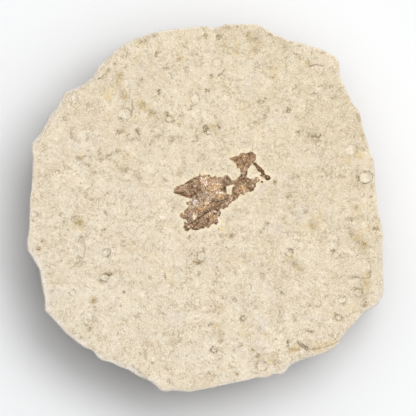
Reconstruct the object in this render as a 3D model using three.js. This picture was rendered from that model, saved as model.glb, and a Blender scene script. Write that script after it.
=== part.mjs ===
// A fossil fly on its limestone slab, lying flat.
//
// The slab is one broken piece of fine limestone. It has a level bedding face on top, a
// chipped lip, a wall that is widest part of the way up, and a flat base that it lies on.
// The fly is a thin brown film on the bedding face: crushed body, folded wings and one
// thin leg that ends in a knob.
//
// Millimetres, +Z up. The origin is under the middle of the slab, on the surface that it
// lies on. +Y points to the slab's blunt top edge and +X to the side that the leg points to.

import * as THREE from "three";
import { mergeVertices } from "three/addons/utils/BufferGeometryUtils.js";

// ---------------------------------------------------------------- driving dimensions

const SLAB_THICKNESS = 10; // base to bedding face
const CHAMFER_HEIGHT = 1.6; // top of the worn edge round the base
const CHAMFER_SHARE = 0.35; // how much of the foot's inset is left at that height
const SHOULDER_DROP = 0.35; // the lip starts to turn over this far below the bedding face
const SHOULDER_SHARE = 0.12; // how much of the lip's inset is reached there
const RIM_STEPS = 2; // facets between two points of the outline
const FILM_THICKNESS = 0.2; // the fly's remains above the bedding face

// The slab's outline at its widest, seen from above, anticlockwise from the left tip.
const SLAB_OUTLINE = [
  [-17.85, -3.73], [-17.75, -4.23], [-17.45, -4.73], [-17.15, -5.23], [-16.85, -5.73],
  [-16.6, -6.23], [-16.45, -7.23], [-16.25, -8.23], [-16.05, -9.23], [-16.05, -10.2],
  [-15.75, -10.55], [-15.35, -11.0], [-14.55, -11.85], [-13.95, -12.5], [-13.05, -13.25],
  [-12.15, -13.9], [-11.35, -14.23], [-10.85, -14.83], [-10.55, -15.1], [-10.15, -15.3],
  [-9.55, -15.42], [-8.55, -15.9], [-7.65, -16.23], [-6.75, -16.78], [-5.55, -17.31],
  [-4.85, -17.86], [-4.55, -18.18], [-3.95, -18.33], [-3.05, -18.23], [-2.05, -18.37],
  [-1.55, -18.37], [-0.55, -18.2], [0.65, -17.96], [2.45, -17.56], [3.95, -17.25],
  [5.15, -16.97], [5.95, -16.95], [6.65, -16.65], [7.65, -16.56], [8.35, -15.88],
  [8.75, -15.58], [9.85, -15.16], [11.05, -14.78], [12.15, -14.38], [12.85, -13.93],
  [13.45, -13.33], [13.95, -12.48], [14.85, -11.53], [15.45, -10.83], [16.05, -10.28],
  [16.95, -9.78], [17.5, -9.13], [17.8, -8.33], [17.85, -7.93], [17.77, -6.23],
  [17.68, -4.23], [17.69, -2.53], [17.5, -1.43], [17.23, -0.23], [17.17, 0.77],
  [16.95, 1.97], [16.9, 3.27], [16.78, 4.67], [16.45, 5.47], [16.2, 6.47],
  [15.75, 7.97], [15.48, 9.17], [15.35, 9.62], [14.65, 10.52], [14.15, 11.57],
  [13.6, 12.77], [13.38, 13.77], [13.33, 14.57], [12.95, 15.07], [12.05, 15.62],
  [10.55, 16.15], [9.55, 16.47], [8.45, 16.74], [6.95, 17.34], [5.65, 18.12],
  [4.95, 18.35], [3.45, 18.37], [2.05, 18.34], [1.65, 18.17], [0.85, 17.97],
  [-0.05, 18.14], [-1.55, 18.0], [-3.05, 17.87], [-4.55, 17.65], [-5.55, 17.45],
  [-7.05, 16.9], [-8.25, 16.32], [-9.05, 15.72], [-9.45, 15.3], [-10.05, 14.73],
  [-10.75, 14.12], [-11.02, 13.57], [-11.55, 12.9], [-12.15, 12.44], [-12.95, 11.95],
  [-14.0, 11.55], [-14.35, 11.07], [-14.95, 9.87], [-15.52, 9.27], [-16.05, 8.27],
  [-16.65, 7.27], [-17.27, 6.47], [-17.35, 6.17], [-17.25, 4.77], [-17.35, 2.47],
  [-17.55, 0.77], [-17.55, -0.23], [-17.6, -1.13], [-17.63, -2.23], [-17.82, -3.23],
];

// How the rim leans, by bearing in degrees, anticlockwise from +X as seen from above:
// the lip's width, the height where the slab is widest, and how far in the base starts.
const RIM = [
  { bearing: 0, lip: 0.05, girth: 6.6, foot: 2.0 },
  { bearing: 45, lip: 0.05, girth: 7.2, foot: 2.3 },
  { bearing: 80, lip: 0.04, girth: 7.8, foot: 2.1 },
  { bearing: 110, lip: 0.06, girth: 6.8, foot: 1.6 },
  { bearing: 145, lip: 0.08, girth: 6.0, foot: 2.1 },
  { bearing: 180, lip: 0.05, girth: 6.3, foot: 1.8 },
  { bearing: 205, lip: 0.08, girth: 4.9, foot: 1.4 },
  { bearing: 225, lip: 0.06, girth: 5.4, foot: 1.8 },
  { bearing: 255, lip: 0.06, girth: 5.0, foot: 2.2 },
  { bearing: 280, lip: 0.05, girth: 6.2, foot: 2.0 },
  { bearing: 305, lip: 0.08, girth: 5.2, foot: 1.5 },
  { bearing: 335, lip: 0.06, girth: 5.7, foot: 1.7 },
];

// The film's outline, seen from above, clockwise from the tip of the left lobe.
const FILM_OUTLINE = [
  // the upper edge of the folded wings
  [-3.19, 1.59], [-2.9, 2.12], [-2.45, 2.29], [-2.07, 2.49], [-1.6, 2.77], [-1.25, 2.99],
  [-0.85, 3.17], [-0.62, 3.22], [-0.53, 3.49], [-0.35, 3.17], [-0.15, 3.31], [0.43, 3.29],
  [0.65, 3.07], [0.97, 3.27], [1.15, 3.02], [1.65, 3.01], [2.1, 3.28], [2.38, 3.11],
  [2.6, 2.75], [2.95, 2.74], [3.35, 3.14],
  // the neck and the upper lobe
  [3.53, 3.37], [3.41, 4.02], [3.13, 4.11], [2.95, 4.55], [2.63, 4.75], [2.37, 4.95],
  [2.78, 5.09], [3.25, 5.19], [3.5, 5.42], [4.2, 5.47], [4.48, 5.69], [4.83, 5.49],
  [5.05, 5.25], [4.91, 4.62],
  // the leg, its knob, and back along its lower edge
  [5.25, 4.31], [5.65, 3.94], [5.88, 3.57], [6.08, 3.27], [6.41, 3.21], [6.49, 2.89],
  [6.15, 2.76], [5.9, 3.02], [5.45, 3.21], [5.53, 3.51], [5.23, 3.67], [5.05, 4.05],
  [4.79, 4.29],
  // the underside of the upper lobe, then the arm towards the leg
  [4.45, 4.19], [4.25, 3.92], [4.1, 3.32], [4.2, 3.07], [4.6, 2.89], [5.0, 3.09],
  [5.27, 3.01], [5.45, 2.82], [5.05, 2.49], [4.98, 2.12], [4.84, 1.85],
  // the crushed underside of the thorax and the abdomen
  [4.55, 1.61], [4.15, 1.62], [3.87, 1.32], [3.45, 1.42], [3.2, 0.92], [2.78, 0.72],
  [2.45, 0.44], [2.3, 0.15], [1.95, 0.05], [1.73, -0.09], [1.38, -0.23], [1.53, -0.58],
  [1.17, -0.91], [1.29, -1.37], [1.1, -1.64], [0.63, -1.55], [0.32, -1.98], [-0.15, -2.03],
  [-0.61, -2.19], [-1.0, -2.18], [-1.52, -2.05], [-1.75, -2.31], [-2.09, -2.23],
  [-2.23, -1.87], [-2.11, -1.45], [-1.75, -1.51], [-2.0, -1.15], [-2.47, -0.91],
  [-2.35, -0.53], [-2.1, -0.34], [-1.65, 0.11], [-1.89, 0.37], [-1.75, 0.64],
  [-1.29, 0.81], [-1.6, 1.01], [-2.15, 1.17], [-2.55, 1.37], [-2.95, 1.44],
];

// Bare stone inside the film, anticlockwise: between abdomen and thorax, and a small one
// in the abdomen.
const FILM_HOLES = [
  [[2.1, 1.65], [2.4, 1.33], [2.6, 1.45], [2.68, 2.01], [2.95, 2.34], [2.55, 2.31], [2.05, 2.13]],
  [[-1.27, -1.15], [-1.07, -1.19], [-0.93, -0.85], [-1.05, -0.51], [-1.27, -0.65]],
];

// ---------------------------------------------------------------- slab

// A rim value at a bearing, eased from one station to the next.
function rimValue(bearing, key) {
  const turn = THREE.MathUtils.euclideanModulo(bearing, 360);
  const next = RIM.findIndex((station) => station.bearing > turn);
  const to = next < 0 ? RIM[0] : RIM[next];
  const from = next < 0 ? RIM[RIM.length - 1] : RIM[next - 1];
  const span = THREE.MathUtils.euclideanModulo(to.bearing - from.bearing, 360);
  const share = (turn - from.bearing) / span;
  return THREE.MathUtils.lerp(from[key], to[key], THREE.MathUtils.smoothstep(share, 0, 1));
}

// The outline as points round a closed curve, each with its bearing.
function rimPoints() {
  const corners = SLAB_OUTLINE.map(([x, y]) => new THREE.Vector3(x, y, 0));
  const curve = new THREE.CatmullRomCurve3(corners, true, "centripetal");
  const count = corners.length * RIM_STEPS;
  return Array.from({ length: count }, (_, i) => {
    const point = curve.getPoint(i / count);
    return { point, bearing: THREE.MathUtils.radToDeg(Math.atan2(point.y, point.x)) };
  });
}

// The slab's cross-section at a bearing, from the base up: inset from the outline, height.
function rimSection(bearing) {
  const lip = rimValue(bearing, "lip");
  const foot = rimValue(bearing, "foot");
  return [
    [foot, 0],
    [foot * CHAMFER_SHARE, CHAMFER_HEIGHT],
    [0, rimValue(bearing, "girth")],
    [lip * SHOULDER_SHARE, SLAB_THICKNESS - SHOULDER_DROP],
    [lip, SLAB_THICKNESS],
  ];
}

// One closed solid: rings of points, joined by walls, with a flat face at each end.
function slabGeometry() {
  const rim = rimPoints();
  const around = rim.length;
  const sections = rim.map(({ bearing }) => rimSection(bearing));
  const levels = sections[0].length;
  const positions = [];
  for (let level = 0; level < levels; level += 1) {
    rim.forEach(({ point }, i) => {
      const [inset, height] = sections[i][level];
      const share = 1 - inset / point.length();
      positions.push(point.x * share, point.y * share, height);
    });
  }
  const faces = [];
  for (let level = 0; level + 1 < levels; level += 1) {
    for (let i = 0; i < around; i += 1) {
      const a = level * around + i;
      const b = level * around + ((i + 1) % around);
      faces.push(a, b, b + around, a, b + around, a + around);
    }
  }
  const ring = (level) =>
    rim.map((_, i) => {
      const at = 3 * (level * around + i);
      return new THREE.Vector2(positions[at], positions[at + 1]);
    });
  const top = (levels - 1) * around;
  THREE.ShapeUtils.triangulateShape(ring(0), []).forEach(([a, b, c]) => faces.push(a, c, b));
  THREE.ShapeUtils.triangulateShape(ring(levels - 1), []).forEach(([a, b, c]) =>
    faces.push(top + a, top + b, top + c),
  );
  const geometry = new THREE.BufferGeometry();
  geometry.setAttribute("position", new THREE.Float32BufferAttribute(positions, 3));
  geometry.setIndex(faces);
  geometry.computeVertexNormals();
  return geometry;
}

// ---------------------------------------------------------------- fly

// The film: its outline with the bare patches cut out, as a plate of even thickness.
function filmGeometry() {
  const corner = ([x, y]) => new THREE.Vector2(x, y);
  const shape = new THREE.Shape(FILM_OUTLINE.map(corner));
  shape.holes = FILM_HOLES.map((hole) => new THREE.Path(hole.map(corner)));
  const plate = new THREE.ExtrudeGeometry(shape, {
    depth: FILM_THICKNESS,
    bevelEnabled: false,
  });
  plate.deleteAttribute("normal");
  plate.deleteAttribute("uv");
  const merged = mergeVertices(plate);
  merged.computeVertexNormals();
  return merged;
}

// ---------------------------------------------------------------- assembly

const limestone = new THREE.MeshStandardMaterial({
  color: 0xe4d6bc,
  roughness: 0.9,
  metalness: 0,
});
const brownFilm = new THREE.MeshStandardMaterial({
  color: 0x91785f,
  roughness: 0.6,
  metalness: 0,
});

const slab = new THREE.Mesh(slabGeometry(), limestone);
slab.name = "limestone_slab";

const fly = new THREE.Mesh(filmGeometry(), brownFilm);
fly.name = "fly_remains";
fly.position.z = SLAB_THICKNESS;

const group = new THREE.Group();
group.add(slab, fly);

export default group;
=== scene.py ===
"""A fossil fly on its limestone slab: the looks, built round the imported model.

Lengths are in millimetres and become metres as a mesh is made. Places and sizes of marks, on the
stone and on the fly, are in tenths of a millimetre from the middle of the slab, with x to the
right and y towards the slab's blunt top edge. Outlines are in hundredths. Strengths are in percent.
"""

import math
from functools import cached_property, partial, reduce

import bpy
import numpy as np
from mathutils import Matrix, Vector, geometry


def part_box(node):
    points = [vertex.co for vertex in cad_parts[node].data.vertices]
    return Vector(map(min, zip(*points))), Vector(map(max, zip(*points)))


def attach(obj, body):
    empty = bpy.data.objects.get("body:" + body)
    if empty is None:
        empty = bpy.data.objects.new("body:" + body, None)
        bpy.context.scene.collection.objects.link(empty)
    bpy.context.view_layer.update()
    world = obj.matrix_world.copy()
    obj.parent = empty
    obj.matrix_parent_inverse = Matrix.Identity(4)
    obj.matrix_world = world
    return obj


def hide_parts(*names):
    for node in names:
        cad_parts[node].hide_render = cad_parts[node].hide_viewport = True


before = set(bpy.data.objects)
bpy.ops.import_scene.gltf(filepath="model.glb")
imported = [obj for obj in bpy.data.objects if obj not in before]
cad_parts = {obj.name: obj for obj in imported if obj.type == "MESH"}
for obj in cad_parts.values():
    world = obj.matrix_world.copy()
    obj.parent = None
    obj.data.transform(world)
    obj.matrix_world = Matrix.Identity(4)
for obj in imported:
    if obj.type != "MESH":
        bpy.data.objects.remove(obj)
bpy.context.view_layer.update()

MM = 0.001
TENTH = 0.1
SEED = 7

# ---- the slab's shape ----

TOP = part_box("limestone_slab")[1].z / MM  # height of the CAD slab's bedding face
BEDDING_DROP = 0.06  # how far under that height the fine bedding face lies
SHOULDER_DROP, SHOULDER_SHARE = 0.35, 0.12  # where the shoulder ends, and its share of the lip
CHAMFER_HEIGHT, CHAMFER_SHARE = 1.6, 0.35  # where the chamfer starts, and its share of the foot
MEAN_RADIUS = 17.5  # of the slab, to unroll its wall
LIP_CLEARANCE = 0.02  # between the bedding face's border and the first row under it
BASE_SHARE = 0.985  # the flat base against the foot round it
FAR = 9.0  # a distance that no mark reaches

# The outline at its widest, anticlockwise from the left tip.
SLAB_OUTLINE = [
    (-1785, -373), (-1775, -423), (-1745, -473), (-1715, -523), (-1685, -573), (-1660, -623),
    (-1645, -723), (-1625, -823), (-1605, -923), (-1605, -1020), (-1575, -1055), (-1535, -1100),
    (-1455, -1185), (-1395, -1250), (-1305, -1325), (-1215, -1390), (-1135, -1423), (-1085, -1483),
    (-1055, -1510), (-1015, -1530), (-955, -1542), (-855, -1590), (-765, -1623), (-675, -1678),
    (-555, -1731), (-485, -1786), (-455, -1818), (-395, -1833), (-305, -1823), (-205, -1837),
    (-155, -1837), (-55, -1820), (65, -1796), (245, -1756), (395, -1725), (515, -1697), (595, -1695),
    (665, -1665), (765, -1656), (835, -1588), (875, -1558), (985, -1516), (1105, -1478), (1215, -1438),
    (1285, -1393), (1345, -1333), (1395, -1248), (1485, -1153), (1545, -1083), (1605, -1028),
    (1695, -978), (1750, -913), (1780, -833), (1785, -793), (1777, -623), (1768, -423), (1769, -253),
    (1750, -143), (1723, -23), (1717, 77), (1695, 197), (1690, 327), (1678, 467), (1645, 547),
    (1620, 647), (1575, 797), (1548, 917), (1535, 962), (1465, 1052), (1415, 1157), (1360, 1277),
    (1338, 1377), (1333, 1457), (1295, 1507), (1205, 1562), (1055, 1615), (955, 1647), (845, 1674),
    (695, 1734), (565, 1812), (495, 1835), (345, 1837), (205, 1834), (165, 1817), (85, 1797),
    (-5, 1814), (-155, 1800), (-305, 1787), (-455, 1765), (-555, 1745), (-705, 1690), (-825, 1632),
    (-905, 1572), (-945, 1530), (-1005, 1473), (-1075, 1412), (-1102, 1357), (-1155, 1290),
    (-1215, 1244), (-1295, 1195), (-1400, 1155), (-1435, 1107), (-1495, 987), (-1552, 927),
    (-1605, 827), (-1665, 727), (-1727, 647), (-1735, 617), (-1725, 477), (-1735, 247), (-1755, 77),
    (-1755, -23), (-1760, -113), (-1763, -223), (-1782, -323),
]

# By bearing in degrees: the lip's width, the height of the widest level, the foot's inset.
RIM = [
    (0, 0.05, 6.6, 2), (45, 0.05, 7.2, 2.3), (80, 0.04, 7.8, 2.1), (110, 0.06, 6.8, 1.6),
    (145, 0.08, 6, 2.1), (180, 0.05, 6.3, 1.8), (205, 0.08, 4.9, 1.4), (225, 0.06, 5.4, 1.8),
    (255, 0.06, 5, 2.2), (280, 0.05, 6.2, 2), (305, 0.08, 5.2, 1.5), (335, 0.06, 5.7, 1.7),
]

# Where the bedding face dips to its edge: bearing, half spread in degrees, width, drop.
BEVELS = [
    (204, 14, 0.9, 0.05), (222, 9, 0.8, 0.05), (238, 7, 0.6, 0.06), (247, 4, 0.7, 0.12),
    (262, 10, 0.3, 0.04), (295, 4, 0.5, 0.1), (305, 7, 0.4, 0.07), (332, 9, 0.4, 0.06),
    (142, 14, 0.4, 0.05),
]

# Where thin beds crop out just inside the edge: bearing, half spread in degrees, strength.
LEDGES = [(131, 9, 100), (149, 12, 90), (112, 6, 50), (300, 6, 40), (341, 8, 80)]

# How strongly the painted highlight along the outermost edge shows: bearing in degrees, strength.
PAINTED_EDGE_HIGHLIGHT = [
    (0, 20), (35, 25), (50, 50), (80, 55), (110, 70), (145, 90), (180, 100), (280, 100), (310, 90),
    (335, 40),
]

# Thin beds in the wall, and the bowls of struck flakes: thickness or size, depth, seed.
BEDS = [(0.4, 0.05, 35), (1.1, 0.14, 36), (2.3, 0.22, 37)]
BOWLS = [(3.6, 0.6, 27), (1.5, 0.2, 28)]

DISC_STEPS = 248  # cells across the bedding face; 4 times as many columns go round the lip
LIP_ROWS = 9  # rows down the shoulder, before the columns are halved
LIP_HEIGHT = 0.75
WALL_ROWS = 38
EDGE_ROUGHNESS = 0.02
EDGE_HIGHLIGHT_DEPTH = 0.45  # how far down the lip the painted highlight along the edge reaches
WALL_TOP, WALL_EASE = 0.3, 3.0  # how far down the wall's own look begins, and grows

# ---- marks in the stone ----

# Shell rings: x, y, radius across, radius along, strength, and a tilt in degrees if it has one.
RINGS = [
    (-36, 88.7, 3.5, 3.2, 100), (-10.5, 108.7, 4, 5.5, 60), (92.5, 157.7, 5, 4.5, 50),
    (112, 72.7, 2.5, 2.5, 80), (159.5, 30.7, 7, 6, 90, 30), (144.5, 57.7, 6, 5, 50),
    (152, -84.3, 4, 4, 60), (136.5, -91.3, 4, 3.5, 60, 20), (132.5, -108.8, 3, 3, 90),
    (119.5, -115.3, 5, 4, 35), (129.5, -47.3, 4, 3.5, 60), (83.5, -44.3, 4, 4, 60),
    (38, -110.3, 2.5, 2.5, 60), (8.5, -141.3, 3.5, 3, 90, -20), (56.5, -157.3, 6, 5, 50),
    (-100.5, -69.3, 4.5, 3.5, 70, 30), (-98.5, -44.3, 4, 4, 60), (-117.5, -107.3, 6, 5, 50),
    (-132.5, -84.3, 3, 3, 60), (-170.5, -6.3, 3, 3, 50), (-147.5, 35.7, 2, 2, 60),
    (2.5, 75.2, 2, 2, 80), (157.5, -95.3, 3, 3, 60), (-118.5, 47.7, 5, 4, 50), (-80, 94, 7, 6, 50),
    (-124, -40, 4, 10, 50), (-131, 110, 3, 6, 50), (12, 145, 5, 4, 40), (108, 110, 4, 4, 40),
    (-4, -48, 4, 5, 70), (74, -106, 4, 8, 40), (-74, 71, 4, 3, 50), (-119, -112, 3, 5, 40),
]

# Cracks, shell edges and ledges: strength, then the points of the line.
STROKES = [
    (67.5, [(-73.5, 107.7), (-72.5, 99.7), (-74.5, 90.7)]),
    (75, [(11.5, 131.7), (17.5, 134.7), (19, 138.7)]),
    (75, [(103.5, 141.7), (111.5, 143.2), (117.5, 141.7)]),
    (37.5, [(159.5, -50.3), (163.5, -54.3), (165.5, -60.3), (164.5, -68.3), (160.5, -70.3),
            (152.5, -69.3), (145.5, -69.8)]),
    (105, [(91, -133), (95, -138), (101, -142)]), (90, [(95, -134), (99, -137.5), (104, -140)]),
    (82.5, [(11.5, 83.7), (13.5, 79.7), (15.5, 80.7)]), (75, [(-68.5, 77.7), (-65.5, 70.7)]),
    (67.5, [(100.5, -122.3), (106.5, -124.3)]), (75, [(-66.5, 163.7), (-61.5, 166.7)]),
    (60, [(-108, 128), (-102, 131.5), (-97, 137)]),
    (41.25, [(101, -141.5), (107, -140.8), (117, -139.5), (126.5, -135.5), (134, -132)]),
    (75, [(82, -133), (83, -138)]),
]

# A patch is x, y and half width. Half height, strength and tilt follow unless it is a plain disc.
PLAIN_STRENGTH = 90

# Brown-grey smudges.
SMUDGES = [
    (-86, 129, 2.5, 6, 38), (-81, 112, 2, 6, 35), (-63, 103, 3, 3.5, 65), (-53, 95, 4, 2, 68),
    (-39, 94, 3, 2.5, 100), (-33, 86, 2.5, 1.5, 80), (-46, 116, 2.6, 2.6, 100), (-64, 127, 2, 3, 70),
    (-49, 154, 1.8, 3, 130), (-50, 172, 4, 2.5, 48), (-97, 137, 2.4, 2.4, 60),
    (-90, 144, 2.4, 1.6, 75, 40), (-118, 102, 2.5, 3, 50), (-142, 90, 1.8, 2.4),
    (-134, 73, 1.6, 5, 60), (-129, 67, 5, 1.6, 50, -40), (-87, 75, 3, 3, 65), (-84, 88, 3, 2, 55),
    (-68, 77, 3, 2.6, 56), (-74, 69, 3, 2, 50), (-127, 49, 3, 2.6, 42), (-117, 43, 3, 1.6, 80),
    (-106, 55, 1.6, 3, 70), (-104, 47, 1.5, 4, 60), (-95, 53, 4.5, 1.6, 80, 35), (-88, 57, 3, 1.8, 75),
    (-79, 38, 3, 2, 80), (-66, 30, 2.6, 3, 50, 30), (-112, 35, 2.4, 2, 60), (-48, 72, 5, 1.8, 60, 20),
    (-54, 65, 3, 1.6, 85, 30), (-35, 68, 4, 3, 70, 30), (-25, 72, 5, 1.2, 35, 15),
    (-24, 92, 4, 2, 50, 40), (-14, 100, 4, 1.6, 70, 40), (-40, 139, 4, 1.6, 75),
    (-26, 148, 4, 1.8, 45, 30), (-12, 153, 6, 1.8, 25), (-19, 137, 2.5, 4, 50), (-10, 69, 2.6, 5, 50),
    (-26, 34, 3, 3, 65), (-41, 28, 4, 2.4, 60, -30), (-158, 60, 5, 1.6, 30), (-120, 13, 2.5, 4, 55),
    (-133, 18, 3, 2, 40, -40), (13, 170, 2.4, 2.4, 105), (0, 172, 2, 2.4, 60), (6, 132, 2.4, 2, 100),
    (2, 117, 2.4, 2, 120), (0, 79, 3, 3.4, 130), (11, 82, 4, 2.6, 30), (42, 174, 2, 4, 45),
    (22, 180, 4, 1.6, 40), (48, 168, 7, 2, 35, 10), (63, 172, 4, 1.6, 50, 20),
    (33, 156, 7, 2, 28, -15), (50, 157, 4, 3, 40), (66, 130, 3, 1.6, 60), (78, 159, 5, 2, 50, -20),
    (92, 152, 6, 1.8, 40, -10), (103, 144, 3, 3, 50), (105, 155, 3, 1.8, 40), (117, 155, 3, 1.6, 65),
    (55, 106, 3, 2, 60), (59, 91, 2, 3, 50), (83, 97, 2, 2, 110), (123, 121, 4, 1.8, 40),
    (128, 110, 3, 2.6, 50), (94, 76, 4, 1.8, 70, 10), (108, 72, 5, 2, 80), (111, 66, 3, 2, 45),
    (153, 90, 2, 5, 50, 20), (123, 83, 3, 2.6, 40), (153, 51, 4, 1.8, 10), (151, 30, 1.8, 5, 60, -15),
    (134, 32, 4, 1.6, 48), (90, 32, 4.5, 1.8, 50, -40), (69, 25, 1.6, 4, 80), (82, 12, 2.6, 3, 80),
    (164, 11, 2.2, 2, 80), (110, 15, 1.6, 3, 50), (-127, -15, 3, 3, 75), (-131, -10, 3, 1.8, 60),
    (-140, -16, 2.6, 2.6, 50), (-122, -29, 4, 1.4, 50), (-127, -52, 1.8, 5, 50), (-100, -5, 2, 2, 75),
    (-102, -22, 2, 1.6, 60), (-97, -46, 2, 4), (-97, -66, 4, 1.7, 95), (-105, -73, 2, 2, 85),
    (-82, -84, 2, 1.6, 105), (-73, -74, 3, 1.8, 50), (-111, -93, 3.4, 2.4, 80), (-56, -69, 2, 2, 50),
    (-41, -68, 1.8, 2, 110), (-115, -120, 2.4, 2, 60), (-123, -129, 2, 1.8, 40),
    (-69, -108, 3, 2.4, 50), (-60, -146, 1.8, 5, 50, 10), (-52, -155, 2, 1.6),
    (-31, -134, 5, 2.4, 30, 10), (-42, -127, 1.8, 3, 65), (-37, -173, 1.8, 3, 60),
    (-8, -54, 3.4, 2, 120, -10), (-2, -42, 1.6, 2, 70), (-17, -29, 1.8, 2, 75),
    (-167, -40, 2.4, 2, 80), (-162, -33, 1.8, 2, 60), (-153, -84, 4, 1.6, 40, 20),
    (26, -28, 3, 1.8, 75), (16, -28, 2, 2, 35), (55, -24, 2, 2, 60), (61, -17, 3, 2, 70, 40),
    (85, -43, 2.8, 2, 145), (88, -57, 3, 2, 80), (94, -61, 5, 2, 28), (128, -42, 2.2, 1.8, 100),
    (130, -34, 5, 1.4, 35, -45), (145, -11, 4, 2, 80), (150, 0, 2.4, 1.6, 70),
    (145, -26, 2.4, 2.4, 70), (151, -33, 5, 2, 35, -45), (158, -36, 2, 2, 80), (169, -20, 3, 1.8, 104),
    (107, -18, 3, 4, 50, 30), (99, -4, 2, 2, 91), (163, -66, 2, 4, 60, -10), (148, -69, 6, 1.4, 30),
    (156, -77, 6, 1.4, 15, 10), (150, -81, 3, 1.8, 60), (158, -96, 2, 3, 110), (136, -88, 3, 1.6, 70),
    (139, -95, 2.6, 2, 60), (131, -109, 3, 2, 55), (104, -123, 4.5, 1.6, 45), (82, -135, 1.6, 3, 120),
    (89, -141, 5, 1.6, 70), (112, -140, 8, 1.1, 40, 6), (36, -110, 2.2, 3), (29, -92, 2, 3, 70),
    (18, -89, 2.6, 2.6, 50), (37, -48, 3, 1.8, 70), (56, -56, 1.8, 3, 70, 30), (57, -67, 2.6, 4, 50),
    (74, -107, 1.8, 7, 60), (88, -110, 2.6, 4, 50), (6, -103, 6, 2, 40, 20),
    (5, -116, 3, 1.6, 100, 10), (14, -123, 2.4, 2.6, 45), (15, -133, 3, 2, 70), (8, -142, 4, 2.4, 100),
    (28, -142, 1.8, 1.8, 60), (35, -137, 3, 2, 60), (47, -142, 2, 2, 80), (52, -147, 3, 2, 100, 20),
    (55, -155, 6, 4, 20), (72, -155, 4, 2, 40), (31, -166, 2, 2.4, 70), (3, -165, 2, 2, 75),
    (76, -86, 2.6, 2.2, 70), (120, -88, 2, 1.6, 85), (104, -97, 3, 2, 40),
]

# Broad dull areas, and broad bright ones.
DULLS = [
    (-88, 128, 5, 10, 60, -10), (-80, 112, 5, 8, 60, 20), (-52, 98, 16, 4, 50, -12),
    (-38, 90, 7, 4, 50, 20), (-78, 80, 10, 5, 40), (-132, 78, 5, 12, 40, 15), (-108, 50, 18, 4, 30),
    (-44, 70, 12, 4, 40, 15), (7, 80, 7, 4, 80), (108, 72, 7, 6, 70), (14, 178, 7, 5, 80),
    (50, 168, 7, 11, 60, -15), (80, 165, 14, 5, 50, -20), (-20, 144, 14, 5, 30, 20),
    (7, 126, 4, 6, 40), (60, 106, 8, 7, 25), (126, 118, 7, 12, 35, 20), (152, 84, 5, 12, 40, 15),
    (150, 30, 7, 9, 50), (83, 14, 10, 5, 40, -35), (108, -17, 6, 8, 50, 20), (151, -33, 6, 14, 80, 35),
    (158, -80, 6, 12, 60, -15), (88, -56, 6, 8, 60), (96, -138, 10, 4, 40), (52, -150, 8, 5, 50, 20),
    (13, -100, 6, 5, 35), (12, -122, 6, 8, 45), (38, -110, 4, 6, 35), (-5, -52, 6, 5, 40),
    (-127, -15, 6, 6, 70), (-123, -45, 4, 16, 30), (-102, -69, 8, 4, 50, 40), (-112, -93, 5, 9, 45),
    (-120, -120, 6, 9, 40), (-34, -134, 10, 6, 25), (136, -102, 8, 8, 30), (120, 44, 6, 10, 25),
    (-68, 32, 5, 9, 35, 20),
]
BRIGHTS = [
    (-130, 31, 9, 7), (-104, 68, 8, 9, 60), (-72, 60, 6, 6, 40), (-24, 106, 8, 12, 60, 30),
    (5, -40, 9, 6, 70, -20), (60, -12, 14, 4, 50), (36, -56, 10, 9, 50), (-46, 5, 7, 22, 50),
    (60, -131, 7, 8, 80), (28, -154, 8, 6, 50), (-66, -105, 7, 14, 35), (-96, 104, 6, 7, 50),
    (70, 137, 8, 6, 40), (132, 18, 6, 9, 40), (92, 52, 8, 6, 30), (-30, -160, 9, 5, 40),
]

# Tan stains, grey-lilac patches, and yellow grains beside the fly.
STAINS = [
    (-84.5, 130.7, 3), (-86.5, 124.7, 3), (-94.5, 119.7, 4), (-80.5, 110.7, 3), (-98.5, 111.7, 4),
    (-98.5, 93.7, 3), (-61, 101.2, 5), (-55.5, 95.2, 2), (-65.5, 107.7, 3), (6.5, 82.7, 3),
    (31.5, 162.7, 3), (29.5, 154.7, 3), (-23.5, 150.7, 3), (44.5, 171.7, 3), (101.5, 143.7, 3),
    (69.5, 127.7, 3), (153.5, 52.7, 4), (139.5, 47.7, 3), (107.5, -18.3, 3), (151.5, -30.3, 3),
    (158.5, -36.3, 3), (160.5, -68.3, 3), (161.5, -76.3, 3), (91.5, -59.3, 3), (85.5, -48.3, 3),
    (88, -140.3, 4), (11.5, -118.3, 3), (64.5, -151.3, 3), (17.5, -97.3, 3), (-111.5, -90.3, 3),
    (-124.5, -14.3, 3), (-123.5, 51.7, 3), (-25.5, 34.7, 3), (113, -139, 5), (126, -136, 4),
]
GREYS = [
    (56.5, -135.3, 7), (56.5, -117.3, 6), (-30.5, -110.3, 7), (52.5, 17.7, 5), (57, 24, 3),
    (-12, -17, 6), (70, -22, 8), (95, -5, 7),
]
GOLDS = [(16.6, -20.9, 1.3), (15, -20, 0.8), (31.6, 41.6, 1.2), (-24.6, -5.4, 0.8), (24.5, 55, 1.2)]

# ---- the fly's shape ----

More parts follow.
